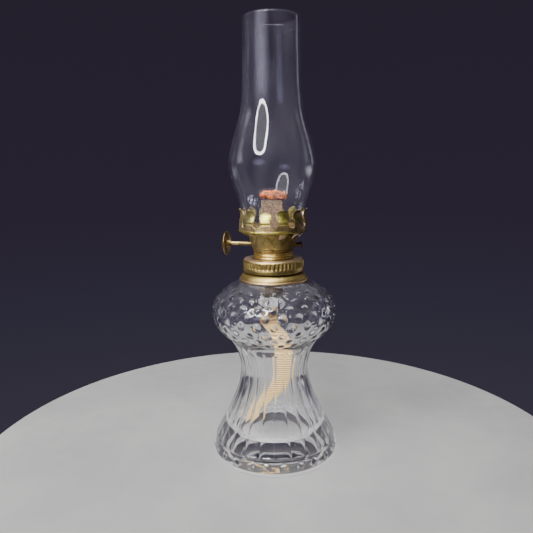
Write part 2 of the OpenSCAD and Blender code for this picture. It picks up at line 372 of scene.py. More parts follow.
def glass(name, tint, ior, passes, wave_mm, wave_size, film, residue=(), smear=None):
    """Clear glass with slight waves and smears, under a thin violet-white film.

    passes is the share of a lamp's light that it lets through, and film the least and the most of the surface
    that the film covers. Each residue is the place of some dried specks, their reach, and their height over
    their width. smear is the x, y and lowest z of a cloudy stripe that was wiped down the glass.
    """
    k = Look(name)
    waves = k.noise(wave_size, 2, 0.4)
    smears = k.noise(14, 4, 0.6, 1.2, k.stretched(1, 1, 0.35))
    specks = k.range(k.cells(2.3), 0.03, 0.09, 1, 0)
    rough = k.range(smears, 0.5, 0.8, 0.0, 0.05)
    shader = k.surface(
        Base_Color=tint, IOR=ior, Transmission_Weight=1.0,
        Roughness=k.maths("ADD", rough, k.maths("MULTIPLY", specks, 0.05)),
        Normal=k.bump(waves, wave_mm),
    )
    cover = k.maths("ADD", k.range(smears, 0.3, 0.75, *film), k.maths("MULTIPLY", specks, 0.05))
    for x, y, z, reach, tall in residue:
        squeezed = k.stretched(1, 1, 1 / tall)
        crumbs = k.range(k.noise(0.9, 3, 0.7, 0, squeezed), 0.55, 0.60)
        close = k.range(k.distance(squeezed, (x, y, z / tall)), 0.4 * reach, reach, 0.85, 0.0)
        cover = k.maths("MAXIMUM", cover, k.maths("MULTIPLY", crumbs, close))
    if smear:
        x, y, lowest = smear
        beside = k.distance(k.stretched(1, 1, 0), (x, y, 0))
        cloudy = k.range(k.noise(1.5, 4, 0.65), 0.3, 0.65, 0.4, 1)
        wiped = k.maths("MULTIPLY", k.range(beside, 4.2, 0.8, 0, 0.055), cloudy)
        wiped = k.maths("MULTIPLY", wiped, k.range(k.part("Z"), lowest, lowest + 14))
        cover = k.maths("ADD", cover, wiped)
    dust = k.add("ShaderNodeBsdfDiffuse")
    coated = k.add("ShaderNodeMixShader")
    dust.inputs["Color"].default_value = (0.72, 0.69, 0.88, 1)
    k.put(coated.inputs[0], cover)
    k.put(coated.inputs[1], shader.outputs["BSDF"])
    k.put(coated.inputs[2], dust.outputs["BSDF"])
    # rays from lamps pass straight through, so what is behind the glass is lit
    path = k.add("ShaderNodeLightPath")
    clear = k.add("ShaderNodeBsdfTransparent")
    both = k.add("ShaderNodeMixShader")
    clear.inputs["Color"].default_value = (passes, passes, passes, 1)
    k.put(both.inputs[0], path.outputs["Is Shadow Ray"])
    k.put(both.inputs[1], coated.outputs["Shader"])
    k.put(both.inputs[2], clear.outputs["BSDF"])
    k.put(k.out.inputs["Surface"], both.outputs["Shader"])
    return k.material


def aged_brass(name, bright, dull, pink, dull_share, pink_share, low_z, high_z,
               dents=0.05, flecks=0.35, zones=(), matte=0.0):
    """Old sheet brass: bright where it is handled, copper-pink in patches, and brown in its valleys, from
    grime and painted shade.

    Each zone is an axis, where on it the zone starts and where it is full, a colour and its share. low_z and
    high_z are the piece's ends in mm, and its lowest fifth is darker. A height mark over 0.2 mm on the mesh
    is a worn, pale edge, and one under 0 is a valley, darkened with grime and painted shade.
    """
    k = Look(name)
    patches = k.noise(5.5, 4, 0.6, 0.8)
    fine = k.noise(0.55, 5, 0.7)
    stains = k.noise(2.1, 3, 0.7, 1.5)
    scratches = k.noise(0.35, 2, 0.5, 0, k.stretched(0.25, 0.25, 3.0))
    mark = k.mark()
    raised = k.range(mark, -0.00025, -0.00002)
    share = k.range(patches, 0.62 - dull_share * 0.5, 0.95 - dull_share * 0.5)
    share = k.maths("MAXIMUM", share, k.range(stains, 0.54, 0.72, 0, 0.8))
    tone = k.mix(share, bright, dull)
    spots = k.range(k.noise(0.9, 4, 0.75, 0.4), 0.54, 0.70, 0, flecks)
    tone = k.mix(spots, tone, tuple(0.3 * c for c in dull))
    for axis, start, full, colour, amount in zones:
        edge = k.maths("ADD", k.part(axis), k.range(patches, 0.3, 0.7, -0.5, 0.5))
        tone = k.mix(k.range(edge, start, full, 0, amount), tone, colour)
    coppery = k.range(k.noise(4.2, 3, 0.5, 0.6), 0.52, 0.7)
    tone = k.mix(k.maths("MULTIPLY", coppery, pink_share), tone, pink)
    streaks = k.noise(1.3, 4, 0.65, 0.3, k.stretched(1.8, 1.8, 0.45))
    tone = k.mix(k.range(streaks, 0.50, 0.64, 0, 0.75 * flecks), tone, tuple(0.45 * c for c in dull))
    # grime and painted shade in the valleys, where the height mark is under 0
    grime_and_shade = k.maths("MULTIPLY", k.maths("SUBTRACT", 1.0, raised), k.range(fine, 0.3, 0.75, 0.35, 0.85))
    tone = k.mix(grime_and_shade, tone, tuple(0.35 * c for c in dull))
    # darker towards the bottom of the piece
    foot = k.range(k.part("Z"), low_z, low_z + 0.22 * (high_z - low_z), 0.35, 0.0)
    tone = k.mix(foot, tone, tuple(0.5 * c for c in dull))
    tone = k.mix(k.range(mark, 0.00018, 0.00035, 0, 0.9), tone, (0.88, 0.66, 0.50))
    rough = k.range(k.maths("ADD", k.maths("MULTIPLY", patches, 0.6), k.maths("MULTIPLY", fine, 0.4)),
                    0.35, 0.7, 0.32, 0.52)
    rough = k.maths("ADD", rough, k.maths("MULTIPLY", grime_and_shade, 0.25))
    rough = k.maths("ADD", rough, matte)
    normal = k.bump(k.noise(2.6, 2, 0.5), dents)
    normal = k.bump(k.noise(0.8, 3, 0.6), 0.4 * dents, normal)
    normal = k.bump(fine, 0.02, normal)
    normal = k.bump(scratches, 0.008, normal)
    k.surface(Base_Color=tone, Metallic=1.0, Roughness=rough, Normal=normal)
    return k.material


def sooted_brass():
    """The wick tube: heat-mottled pink and brown brass, sooty near its rim."""
    k = Look("tube_brass")
    mottle = k.noise(1.2, 5, 0.7, 0.8)
    fine = k.noise(0.4, 4, 0.7)
    tone = k.mix(k.range(mottle, 0.38, 0.62), (0.055, 0.031, 0.018), (0.22, 0.135, 0.08))
    tone = k.mix(k.range(fine, 0.55, 0.72, 0, 0.6), tone, (0.31, 0.23, 0.155))
    rim = tube_high.z * 1000
    tone = k.mix(k.range(k.part("Z"), rim - 1.6, rim, 0, 0.55), tone, (0.10, 0.07, 0.055))
    normal = k.bump(mottle, 0.10)
    normal = k.bump(fine, 0.03, normal)
    k.surface(Base_Color=tone, Metallic=0.45, Roughness=k.range(mottle, 0.3, 0.7, 0.72, 0.5),
              Normal=normal)
    return k.material


def dull_brass():
    """Brass inside the burner, brown and oily."""
    k = Look("inner_brass")
    patches = k.noise(3.2, 4, 0.6, 0.6)
    fine = k.noise(0.5, 4, 0.7)
    tone = k.mix(k.range(patches, 0.4, 0.65), (0.20, 0.135, 0.06), (0.42, 0.31, 0.14))
    k.surface(Base_Color=tone, Metallic=0.9, Roughness=k.range(patches, 0.3, 0.7, 0.35, 0.6),
              Normal=k.bump(fine, 0.02))
    return k.material


def plaster():
    """The cement under the collar: off-white and gritty."""
    k = Look("cement")
    grain = k.noise(0.5, 5, 0.7)
    tone = k.mix(k.range(k.noise(3, 3), 0.4, 0.65), (0.62, 0.57, 0.48), (0.78, 0.75, 0.68))
    k.surface(Base_Color=tone, Roughness=k.range(grain, 0.3, 0.7, 0.8, 0.95),
              Normal=k.bump(grain, 0.12))
    return k.material


def cotton():
    """The wick: cream cotton with painted shade in its brown weave, darkened by a painted shadow of the
    collar, brown then near black, towards the burner.
    """
    k = Look("wick_cotton")
    fibre = k.noise(0.28, 4, 0.7, 0, k.stretched(1, 1, 0.35))
    stain = k.noise(6, 3, 0.6, 0.8)
    raised = k.range(k.mark(), -0.00006, 0.00010)
    # painted shade in the weave's valleys
    tone = k.mix(raised, (0.30, 0.16, 0.05), (0.95, 0.68, 0.28))
    tone = k.mix(k.range(stain, 0.5, 0.75, 0, 0.45), tone, (0.55, 0.35, 0.15))
    # painted shadow of the collar: brown, then near black, towards the burner
    top = wick_high.z * 1000
    tone = k.mix(k.range(k.part("Z"), top - 64, top - 54, 0, 0.9), tone, (0.15, 0.072, 0.026))
    tone = k.mix(k.range(k.part("Z"), top - 56, top - 51, 0, 0.97), tone, (0.025, 0.015, 0.009))
    k.surface(Base_Color=tone, Roughness=k.range(fibre, 0.3, 0.7, 0.75, 0.95),
              Sheen_Weight=0.3, Normal=k.bump(fibre, 0.06))
    return k.material


def burnt_crust():
    """The end of the wick: a rust-orange ash crust with brown and black cracks."""
    k = Look("burnt_wick")
    lumps = k.noise(1.7, 5, 0.65, 0.6)
    grit = k.noise(0.35, 5, 0.75)
    hollow = k.range(k.mark(), -0.0003, 0.00025)
    tone = k.mix(k.range(lumps, 0.35, 0.65), (0.40, 0.065, 0.012), (0.87, 0.225, 0.024))
    middle = (crust_low.x + crust_high.x) * 500
    tone = k.mix(k.range(k.part("X"), middle - 1.5, middle + 1.5, 0.0, 0.75), tone, (0.46, 0.145, 0.07))
    tone = k.mix(k.range(k.noise(2.1, 3), 0.54, 0.66, 0, 0.6), tone, (0.28, 0.10, 0.05))
    # black char in the cracks, with painted shade in the hollows
    tone = k.mix(k.maths("MULTIPLY", k.maths("SUBTRACT", 1.0, hollow), 0.85), tone, (0.07, 0.03, 0.02))
    # painted shade along the crust's bottom, where it sits on the tube's rim
    foot = crust_low.z * 1000
    tone = k.mix(k.range(k.part("Z"), foot, foot + 1.0, 0.8, 0), tone, (0.05, 0.028, 0.02))
    pores = k.range(k.cells(0.95), 0.14, 0.34, 1, 0)
    tone = k.mix(k.maths("MULTIPLY", pores, 0.85), tone, (0.15, 0.04, 0.018))
    normal = k.bump(lumps, 0.4)
    normal = k.bump(pores, -0.2, normal)
    normal = k.bump(grit, 0.16, normal)
    k.surface(Base_Color=tone, Roughness=k.range(grit, 0.3, 0.7, 0.82, 0.98), Normal=normal)
    return k.material


def floor_look():
    """Plain pale board, faintly uneven."""
    k = Look("pale_floor")
    tone = k.mix(k.range(k.noise(60, 3), 0.35, 0.7), (0.29, 0.285, 0.28), (0.335, 0.33, 0.32))
    k.surface(Base_Color=tone, Roughness=k.range(k.noise(9, 4), 0.3, 0.7, 0.42, 0.55),
              Normal=k.bump(k.noise(1.2, 3), 0.02))
    return k.material


# ---------- glass font ----------

# hobnails on the bulb, in rows that are set off by half a hobnail
HOB_RADIUS = 2.0 * MM
HOB_HEIGHT = 0.62 * MM
HOB_FIRST_Z = 58.3 * MM
HOB_PITCH = 4.22 * MM
HOB_ROWS = 8
# flat flutes on the stem and foot, with a ridge between each two
FLUTES = 24
FLUTE_FOOT_Z = 7.8 * MM
FLUTE_TOP_Z = 54.5 * MM
FLUTE_SHARE = 0.0098      # depth, as a share of the radius
RIDGE_HEIGHT = 0.2 * MM
RIDGE_WIDTH = 0.13        # as a share of half a flute
# fine rings on the shoulder
SHOULDER_RING = 0.09 * MM
SHOULDER_PITCH = 1.1 * MM
# the band round the foot and its buttons
BAND_INSET = 0.45 * MM
BUTTON_Z = 4.2 * MM
BUTTON_RADIUS = 2.0 * MM
BUTTON_HEIGHT = 0.85 * MM


def cap(distance, radius, height):
    """The height of a round-topped button at a distance from its middle."""
    return height * np.maximum(1 - (distance / radius) ** 2, 0.0) ** 1.15


def nearest(angles, start, count):
    """The angle from each of the angles to the nearest of count places round the axis."""
    step = TURN / count
    return (angles - start + step / 2) % step - step / 2


def glass_font():
    """The pressed font, followed from the middle of its foot up the outside and back down the inside."""
    half_flute = TURN / FLUTES / 2
    columns, plain = 20 * FLUTES, 4 * FLUTES
    outer = wall("glass_font", 1)
    under = wall("glass_font", -1, high=6 * MM)[::-1]
    inner = wall("glass_font", -1, low=9 * MM)
    s_outer = along(outer)
    rest_s = s_outer[-1]
    # stretches of the outside, and how close their rings are
    pieces = [
        (0.0, 3.0 * MM, 0.45 * MM), (3.0 * MM, 9.5 * MM, 0.42 * MM), (9.5 * MM, 52 * MM, 0.95 * MM),
        (52 * MM, 98 * MM, 0.42 * MM), (98 * MM, rest_s, 0.7 * MM),
    ]
    stretches = [np.linspace(a, b, int((b - a) / step) + 1)[:-1] for a, b, step in pieces]
    at = np.concatenate(stretches + [[rest_s]])
    path = softened(np.stack([np.interp(at, s_outer, outer[:, k]) for k in (0, 1)], axis=1), 3)
    n = normals(path)
    angles = FRONT + np.arange(columns) / columns * TURN

    def s_of(z):
        return float(np.interp(z, path[:, 1], at))

    flute_low, flute_high, buttons = (s_of(z) for z in (FLUTE_FOOT_Z, FLUTE_TOP_Z, BUTTON_Z))
    rows = [s_of(HOB_FIRST_Z) + i * HOB_PITCH for i in range(HOB_ROWS)]
    widest = max(path[:, 0])
    band_a, band_b = rows[0] - 1.1 * HOB_PITCH, rows[-1] + 1.2 * HOB_PITCH
    skin = Skin()
    rings = [skin.ring([(0, 0, under[0, 1])])]
    plain_angles = FRONT + np.arange(plain) / plain * TURN
    for r, z in softened(spaced(under, 2.5 * MM), 1)[1:]:
        rings.append(skin.ring(swept(r, z, plain_angles)))
    for i, (r, z) in enumerate(path):
        s = at[i]
        h = np.zeros(columns)
        # hobnails on the bulb
        sunk = smooth((s - band_a) / HOB_PITCH) * smooth((band_b - s) / HOB_PITCH)
        h -= sunk * HOB_HEIGHT
        for row, centre in enumerate(rows):
            if abs(s - centre) < HOB_RADIUS:
                girth = float(np.interp(centre, at, path[:, 0])) / widest
                size = HOB_RADIUS * min(1.0, girth + 0.04)
                lift = HOB_HEIGHT * min(1.0, 1.5 * girth - 0.35)
                turn = 0 if (HOB_ROWS - row) % 2 else half_flute
                across = r * nearest(angles, FRONT + turn, FLUTES)
                h += cap(np.hypot(across, s - centre), size, lift)
        # flutes, with round tops
        u = nearest(angles, FRONT + half_flute, FLUTES) / half_flute
        end = smooth((flute_high - 2.2 * MM * u ** 2 - s) / (3.0 * MM)) * smooth((s - flute_low) / (0.7 * MM))
        h -= end * FLUTE_SHARE * r * (1 - u ** 2)
        h += end * RIDGE_HEIGHT * np.exp(-((1 - np.abs(u)) / RIDGE_WIDTH) ** 2)
        shoulder = smooth((s - band_b) / MM) * smooth((rest_s - 9 * MM - s) / MM)
        h += SHOULDER_RING * shoulder * math.cos(TURN * s / SHOULDER_PITCH)
        # a row of buttons round the foot, one under each flute
        foot = smooth((flute_low - s) / (0.5 * MM)) * smooth((s - 0.6 * MM) / (1.2 * MM))
        h -= BAND_INSET * foot
        if abs(s - buttons) < BUTTON_RADIUS:
            across = r * nearest(angles, FRONT + half_flute, FLUTES)
            h += cap(np.hypot(across, s - buttons), BUTTON_RADIUS, BUTTON_HEIGHT)
        rings.append(skin.ring(swept(r + h * n[i, 0], z + h * n[i, 1], angles)))
    hollow = softened(spaced(inner, 1.6 * MM), 2)[::-1]
    for r, z in hollow[:-1]:
        rings.append(skin.ring(swept(r, z, plain_angles)))
    rings.append(skin.ring([(0, 0, inner[0, 1])]))
    skin.strip(rings)
    return skin.build("font_glass", 75)


def chimney():
    """The blown chimney, with fire-polished rims."""
    outer, inner = wall("chimney", 1), wall("chimney", -1)
    out_path = softened(spaced(outer, 0.8 * MM), 4)
    in_path = softened(spaced(inner, 0.9 * MM), 4)[::-1]
    top = (out_path[-1] + in_path[0]) / 2 + (0, 0.28 * MM)
    foot = (out_path[0] + in_path[-1]) / 2 - (0, 0.2 * MM)
    top[1] = min(top[1], cad_high.z)
    path = np.concatenate([out_path, [top], in_path, [foot]])
    path[len(out_path) - 1, 1] -= 0.25 * MM
    path[len(out_path) + 1, 1] -= 0.25 * MM
    return lathe("chimney_glass", path, 144, closed=True, sharp=None)


# ---------- brass ----------

THREAD_PITCH = 1.2 * MM


def helix(angles, z, depth):
    """The height of a rolled thread."""
    return depth * 0.5 * (1 + np.cos(TURN * z / THREAD_PITCH - angles))


def collar():
    """A convex flange with a grooved lip, and a male thread above it."""
    outer, inner = wall("collar", 1), wall("collar", -1)
    thread_z = collar_low.z + 4.0 * MM
    flare = outer[outer[:, 1] <= thread_z]
    r_thread = float(np.min(outer[:, 0]))
    threaded = np.array([[r_thread, thread_z + 0.2 * MM], [r_thread, collar_high.z - 0.2 * MM]])
    path = np.concatenate([
        softened(spaced(flare, 0.25 * MM), 3),
        spaced(threaded, 0.13 * MM),
        [[r_thread - 0.25 * MM, collar_high.z]],
        softened(spaced(inner, 0.6 * MM), 1)[::-1],
    ])

    def relief(angles, s, r, z):
        if r < r_thread - 0.1 * MM:
            return 0 * angles
        groove = 0.25 * MM * math.exp(-((z - collar_low.z - 1.3 * MM) / (0.26 * MM)) ** 2)
        live = smooth((z - thread_z - 0.3 * MM) / (0.5 * MM))
        live *= smooth((collar_high.z - 0.4 * MM - z) / (0.5 * MM))
        return live * helix(angles, z, 0.28 * MM) - groove

    return lathe("collar_brass", path, 192, relief, closed=True)


REEDS = 48


def screw_ring():
    """The reeded ring that clamps the burner, with a female thread inside."""
    r_out = ring_high.x - 0.24 * MM
    bottom, top = ring_low.z, ring_high.z
    inner = wall("screw_ring", -1)
    bore = float(np.max(inner[:, 0]))
    lip = float(np.min(inner[:, 0]))
    band = (bottom + 2.1 * MM, bottom + 5.1 * MM)
    outside = curve([
        [bore + 0.35 * MM, bottom], [r_out - 0.25 * MM, bottom], [r_out, bottom + 0.3 * MM],
        [r_out + 0.05 * MM, bottom + 1.4 * MM], [r_out - 0.05 * MM, bottom + 2.0 * MM],
        [r_out - 0.05 * MM, top - 1.1 * MM], [r_out - 0.15 * MM, top - 0.65 * MM],
        [r_out - 0.55 * MM, top - 0.2 * MM], [r_out - 1.1 * MM, top],
        [lip + 0.3 * MM, top - 0.02 * MM], [lip, top - 0.25 * MM], [lip + 0.3 * MM, top - 0.5 * MM],
        [bore - 0.6 * MM, top - 0.5 * MM], [bore, top - 1.1 * MM],
    ], 8)
    inside = np.array([[bore, top - 1.1 * MM], [bore, bottom + 0.2 * MM]])
    path = np.concatenate([spaced(outside, 0.2 * MM), spaced(inside, 0.2 * MM)[1:]])

    def relief(angles, s, r, z):
        if r > r_out - 0.4 * MM:
            live = smooth((z - band[0]) / (0.35 * MM)) * smooth((band[1] - z) / (0.35 * MM))
            rib = np.abs(np.cos(REEDS / 2 * angles)) ** 2.6
            return live * (0.46 * rib - 0.35) * MM
        if abs(r - bore) < 0.05 * MM:
            return -helix(angles, z, 0.2 * MM)
        return 0 * angles

    def mark(angles, s, r, z):
        worn = 0.4 * MM if r < r_out - 0.4 * MM and z > top - 0.4 * MM else 0.0
        return relief(angles, s, r, z) + worn

    return lathe("screw_ring_brass", path, REEDS * 10, relief, True, mark)


def burner_neck():
    """A drawn neck with three rolled beads."""
    low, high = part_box("burner_neck")
    r = high.x
    inner = float(np.min(wall("burner_neck", -1)[:, 0]))
    profile = []
    for t in np.linspace(0, 1, 60):
        bead = abs(math.sin(math.pi * (0.35 + 3.15 * t))) ** 0.7
        beaded = r - 0.42 * MM + 0.38 * MM * bead * smooth((t - 0.12) / 0.1)
        profile.append((beaded, low.z + t * (high.z - low.z)))
    path = np.concatenate([profile, [[inner, high.z], [inner, low.z]]])

    def mark(angles, s, radius, z):
        return radius - r + 0.2 * MM + 0 * angles

    return lathe("burner_neck_brass", path, 128, closed=True, mark=mark)


def sprig(angles, z, low, height):
    """A worn stamped border: sunk chevrons, with raised leaves between them and a groove below."""
    t = (z - low) / height
    u = nearest(angles, FRONT - 0.02, 14) / (TURN / 28)
    chevron = np.exp(-((t - 0.95 + 0.55 * (1 - np.abs(u))) / 0.07) ** 2) * smooth((t - 0.25) / 0.15)
    inner = np.exp(-((t - 0.98 + 0.3 * (1 - np.abs(u))) / 0.05) ** 2) * (np.abs(u) < 0.6)
    leaf = np.exp(-((np.abs(u) - 1) ** 2 / 0.05 + (t - 0.45) ** 2 / 0.03))
    sunk = np.clip(chevron + 0.8 * inner, 0, 1) + 1.2 * np.exp(-((t + 0.08) / 0.05) ** 2)
    return 0.6 * leaf - 1.6 * sunk


def burner_bowl():
    """The bowl under the gallery, stamped with the border and drilled for the shaft."""
    outer, inner = wall("burner_bowl", 1), wall("burner_bowl", -1)
    low = bowl_low.z
    outer = np.concatenate([[[float(np.min(inner[:, 0])), low]], outer])
    outside = softened(spaced(outer, 0.22 * MM), 2)
    inside = softened(spaced(inner[inner[:, 1] > low + 0.2 * MM], 0.6 * MM), 1)
    path = np.concatenate([outside, inside[::-1]])
    outer_end = along(outside)[-1]

    def relief(angles, s, r, z):
        if s > outer_end:
            return 0 * angles
        stamped = 0.13 * MM * sprig(angles, z, low + 2.0 * MM, 6.4 * MM)
        return stamped * smooth((z - low - 0.3 * MM) / (0.5 * MM))

    bowl = lathe("burner_bowl_brass", path, 480, relief, closed=True)
    drilled(bowl, 1.02 * MM, 40 * MM)
    return bowl


def applied(piece):
    """Turns a piece's modifiers into its mesh."""
    bpy.context.view_layer.update()
    done = bpy.data.meshes.new_from_object(piece.evaluated_get(bpy.context.evaluated_depsgraph_get()))
    piece.modifiers.clear()
    piece.data = done


def drilled(piece, radius, length):
    """Cuts the winder shaft's holes through a piece."""
    bpy.ops.mesh.primitive_cylinder_add(vertices=48, radius=radius, depth=length)
    drill = bpy.context.object
    drill.rotation_mode = "QUATERNION"
    drill.rotation_quaternion = SHAFT_AXIS.to_track_quat("Z", "Y")
    drill.location = SHAFT_POINT + SHAFT_AXIS * SHAFT_AXIS.dot(-SHAFT_POINT)
    cut = piece.modifiers.new("holes", "BOOLEAN")
    cut.operation, cut.object, cut.solver = "DIFFERENCE", drill, "EXACT"
    applied(piece)
    bpy.data.objects.remove(drill)


def on_shaft(piece, point):
    """Moves a piece from the Z axis onto the winder shaft's, and its origin to a point there."""
    turn = SHAFT_AXIS.to_track_quat("Z", "Y").to_matrix().to_4x4()
    piece.data.transform(Matrix.Translation(point) @ turn)
    return piece


def winder_knob():
    """A dished thumb disc, turned about the shaft, with a boss on the lamp's side."""
    centre = (knob_low + knob_high) / 2
    disc = float((centre - SHAFT_POINT).dot(SHAFT_AXIS))
    big = (knob_high.z - knob_low.z) / 2
    back = disc - 1.65 * MM
    path = curve([
        [0, 3.3 * MM], [big * 0.45, 3.05 * MM], [big * 0.8, 3.2 * MM], [big - 0.45 * MM, 2.85 * MM],
        [big - 0.05 * MM, 2.4 * MM], [big - 0.15 * MM, 2.1 * MM], [big - 0.6 * MM, 2.25 * MM],
        [big * 0.7, 2.6 * MM], [big * 0.46, 2.35 * MM], [big * 0.3, 1.5 * MM], [1.45 * MM, 0.55 * MM],
        [1.3 * MM, 0.05 * MM], [1.1 * MM, 0.0], [0.0, 0.0],
    ], 5)[::-1]

    def mark(angles, s, r, z):
        return 0.1 * (z - 2.3 * MM) + 0 * angles

    knob = lathe("winder_knob_brass", path, 96, mark=mark)
    return on_shaft(knob, SHAFT_POINT + SHAFT_AXIS * back)


def winder_shaft():
    """A plain shaft with chamfered ends."""
    low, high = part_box("winder_shaft")
    r = (high.z - low.z) / 2
    half = abs((high.x - low.x) / 2 - r * abs(SHAFT_AXIS.y)) / abs(SHAFT_AXIS.x)
    chamfer = 0.2 * MM
    path = np.array([
        [0, -half], [r - chamfer, -half], [r, chamfer - half],
        [r, half - chamfer], [r - chamfer, half], [0, half],
    ])
    path = np.concatenate([path[:3], spaced(path[2:4], 0.8 * MM)[1:-1], path[3:]])
    return on_shaft(lathe("winder_shaft_brass", path, 40), (low + high) / 2)


PETALS = 12
GALLERY_HEIGHT = 11 * MM
FIRST_GAP = FRONT + math.radians(2)
# the keyhole's round end and half the width of its slot
HOLE_R = 1.95 * MM
NECK = 1.06 * MM
WORN = 0.45 * MM          # a height mark that the brass shows as a worn edge
# how far each petal leans out at its tip, and how much shorter than the rest it is, in mm
LEAN = (0.15, 0.0, 0.25, -0.1, 0.2, 0.05, 0.3, 0.0, 0.1, 0.35, 0.45, -1.5)
SHORT = (0.0, 0.2, 0.0, 0.3, 0.1, 0.0, 0.4, 0.0, 0.2, 0.0, 0.1, 1.3)
# how far each draught tab is bent down, and how much it is twisted, in mm
DROP = (2.2, 1.9, 1.6, 2.0, 1.4, 2.1, 1.8, 1.2, 2.0, 1.1, 0.8, 0.15)
TWIST = (0.35, 0.6, 0.3, -0.2, 0.3, 0.1, -0.3, 0.2, 0.4, -0.25, 0.3, 0.0)


def petals(big, top, floor):
    """The points, faces and height marks of the gallery's sheet: floor, band and round petals."""
    # floor, rolled edge, band, waist, and the petals' slight curl out at the top
    profile = curve([
        [big - 4.4 * MM, floor + 0.05 * MM], [big - 1.5 * MM, floor],
        [big - 0.45 * MM, floor + 0.2 * MM], [big - 0.2 * MM, floor + 0.75 * MM],
        [big - 0.35 * MM, floor + 1.3 * MM], [big - 0.4 * MM, floor + 3.6 * MM],
        [big - 0.6 * MM, floor + 4.5 * MM], [big - 0.4 * MM, floor + 5.3 * MM],
        [big - 0.95 * MM, floor + 7.9 * MM], [big - 0.85 * MM, floor + 9.4 * MM],
        [big - 0.35 * MM, floor + 10.95 * MM],
    ], 8)
    profile = spaced(profile, 0.24 * MM)
    hole_z = floor + 4.6 * MM
    pitch = TURN / PETALS
    disc = (big - 0.7 * MM) * pitch / 2 - NECK
    disc_z = top - disc - 0.1 * MM
    points, faces, marks = [], [], []
    across = np.sin(np.linspace(-1, 1, 27) * math.pi / 2)
    start = int(np.argmax(along(profile) > 3.6 * MM))
    grid = {}
    for p in range(PETALS):
        centre = FIRST_GAP + (p + 0.5) * pitch
        for i, (r, z) in enumerate(profile):
            off = z - hole_z
            gap = 0.0
            if i > start and -HOLE_R < off <= 0:
                gap = math.sqrt(HOLE_R ** 2 - off ** 2)
            elif i > start and off > 0:
                gap = max(HOLE_R * math.sqrt(max(1 - (off / (2.7 * MM)) ** 2, 0)), NECK)
            wide = r * pitch / 2 - gap
            lift = z
            if z > disc_z:
                t = (z - disc_z) / (profile[-1, 1] - disc_z)
                wide = disc * math.sqrt(max(1 - t ** 2, 0.0004))
                lift = disc_z + (disc - SHORT[p] * MM) * t
            height = max(0.0, off / (6.4 * MM))
            out = r + LEAN[p] * MM * height ** 2.5
            bowed = 0.28 * MM * smooth(off / (2 * MM))
            for j, u in enumerate(across):
                a = centre + u * wide / r
                w = noise.noise(Vector((math.cos(a) * 3, math.sin(a) * 3, z * 900 + p))) * 0.07 * MM
                rr = out - bowed * u ** 2 + w
                grid[p, i, j] = len(points)
                points.append((rr * math.cos(a), rr * math.sin(a), lift))
                from_side, from_top = min(j, len(across) - 1 - j), len(profile) - 1 - i
                if gap > 0 and from_side == 0 or from_top == 0:
                    marks.append(WORN)
                # painted shade: a dark line along the crease above the band, and dark strips just inside the
                # petals' edges and tops
                elif abs(z - floor - 4.5 * MM) < 0.35 * MM:
                    marks.append(-0.25 * MM)
                elif off > 0 and (2 <= from_side <= 5 or 2 <= from_top <= 7):
                    marks.append(-0.2 * MM)
                else:
                    marks.append(0.0)
    for p in range(PETALS):
        for i in range(len(profile) - 1):
            for j in range(len(across) - 1):
                faces.append((grid[p, i, j], grid[p, i, j + 1],
                              grid[p, i + 1, j + 1], grid[p, i + 1, j]))
    return points, faces, marks


def draught_tabs(big, floor, points, faces, marks):
    """Adds the tabs that are bent down from slots in the gallery's floor."""
    for p in range(PETALS):
        a = FIRST_GAP + (p + 0.5) * TURN / PETALS
        radial = Vector((math.cos(a), math.sin(a), 0))
        side = Vector((-math.sin(a), math.cos(a), 0))
        first = len(points)
        for k in range(5):
            t = k / 4
            mid = radial * (big - (1.75 + 2.15 * t) * MM)
            mid.z = floor - (0.05 + DROP[p] * t ** 1.15) * MM
            for q in (-1, -0.33, 0.33, 1):
                lift = Vector((0, 0, TWIST[p] * q * t * MM))
                points.append(tuple(mid + lift + side * q * (1.55 - 0.3 * t ** 3) * MM))
                marks.append(0.3 * MM)
        for k in range(4):
            for q in range(3):
                b = first + 4 * k + q
                faces.append((b, b + 1, b + 5, b + 4))


def gallery():
    """A thin stamped coronet: round petals parted by keyhole gaps, and tabs bent down from its floor."""
    big, top = gallery_high.x, gallery_high.z
    floor = top - GALLERY_HEIGHT
    points, faces, marks = petals(big, top, floor)
    draught_tabs(big, floor, points, faces, marks)
    piece = new_mesh("gallery_brass", points, faces, marks)
    weld = piece.modifiers.new("weld", "WELD")
    weld.merge_threshold = 0.02 * MM
    thick = piece.modifiers.new("sheet", "SOLIDIFY")
    thick.thickness, thick.offset = 0.42 * MM, -1
    bevel = piece.modifiers.new("edges", "BEVEL")
    bevel.width, bevel.segments, bevel.limit_method = 0.08 * MM, 2, "ANGLE"
    applied(piece)
    piece.data.set_sharp_from_angle(angle=math.radians(50))
    return piece


# ---------- wick ----------

WEFT_PITCH = 1.12 * MM
WARP_PITCH = 1.9 * MM
# the wick swings left above BULB_Z, right in the stem, and left again in its tail
BULB_Z = 54 * MM
BULB_SWING = 3.2 * MM
STEM_Z = (26 * MM, 62 * MM)
STEM_SWING = 3.4 * MM
TAIL_LENGTH = 20 * MM
TAIL_SWING = 9.0 * MM


def superellipse(a, half_x, half_y, square_x, square_y):
    """A point at angle a on an oval that is squarer as the powers are smaller."""
    c, s = math.cos(a), math.sin(a)
    x = half_x * math.copysign(abs(c) ** square_x, c)
    y = half_y * math.copysign(abs(s) ** square_y, s)
    return x, y


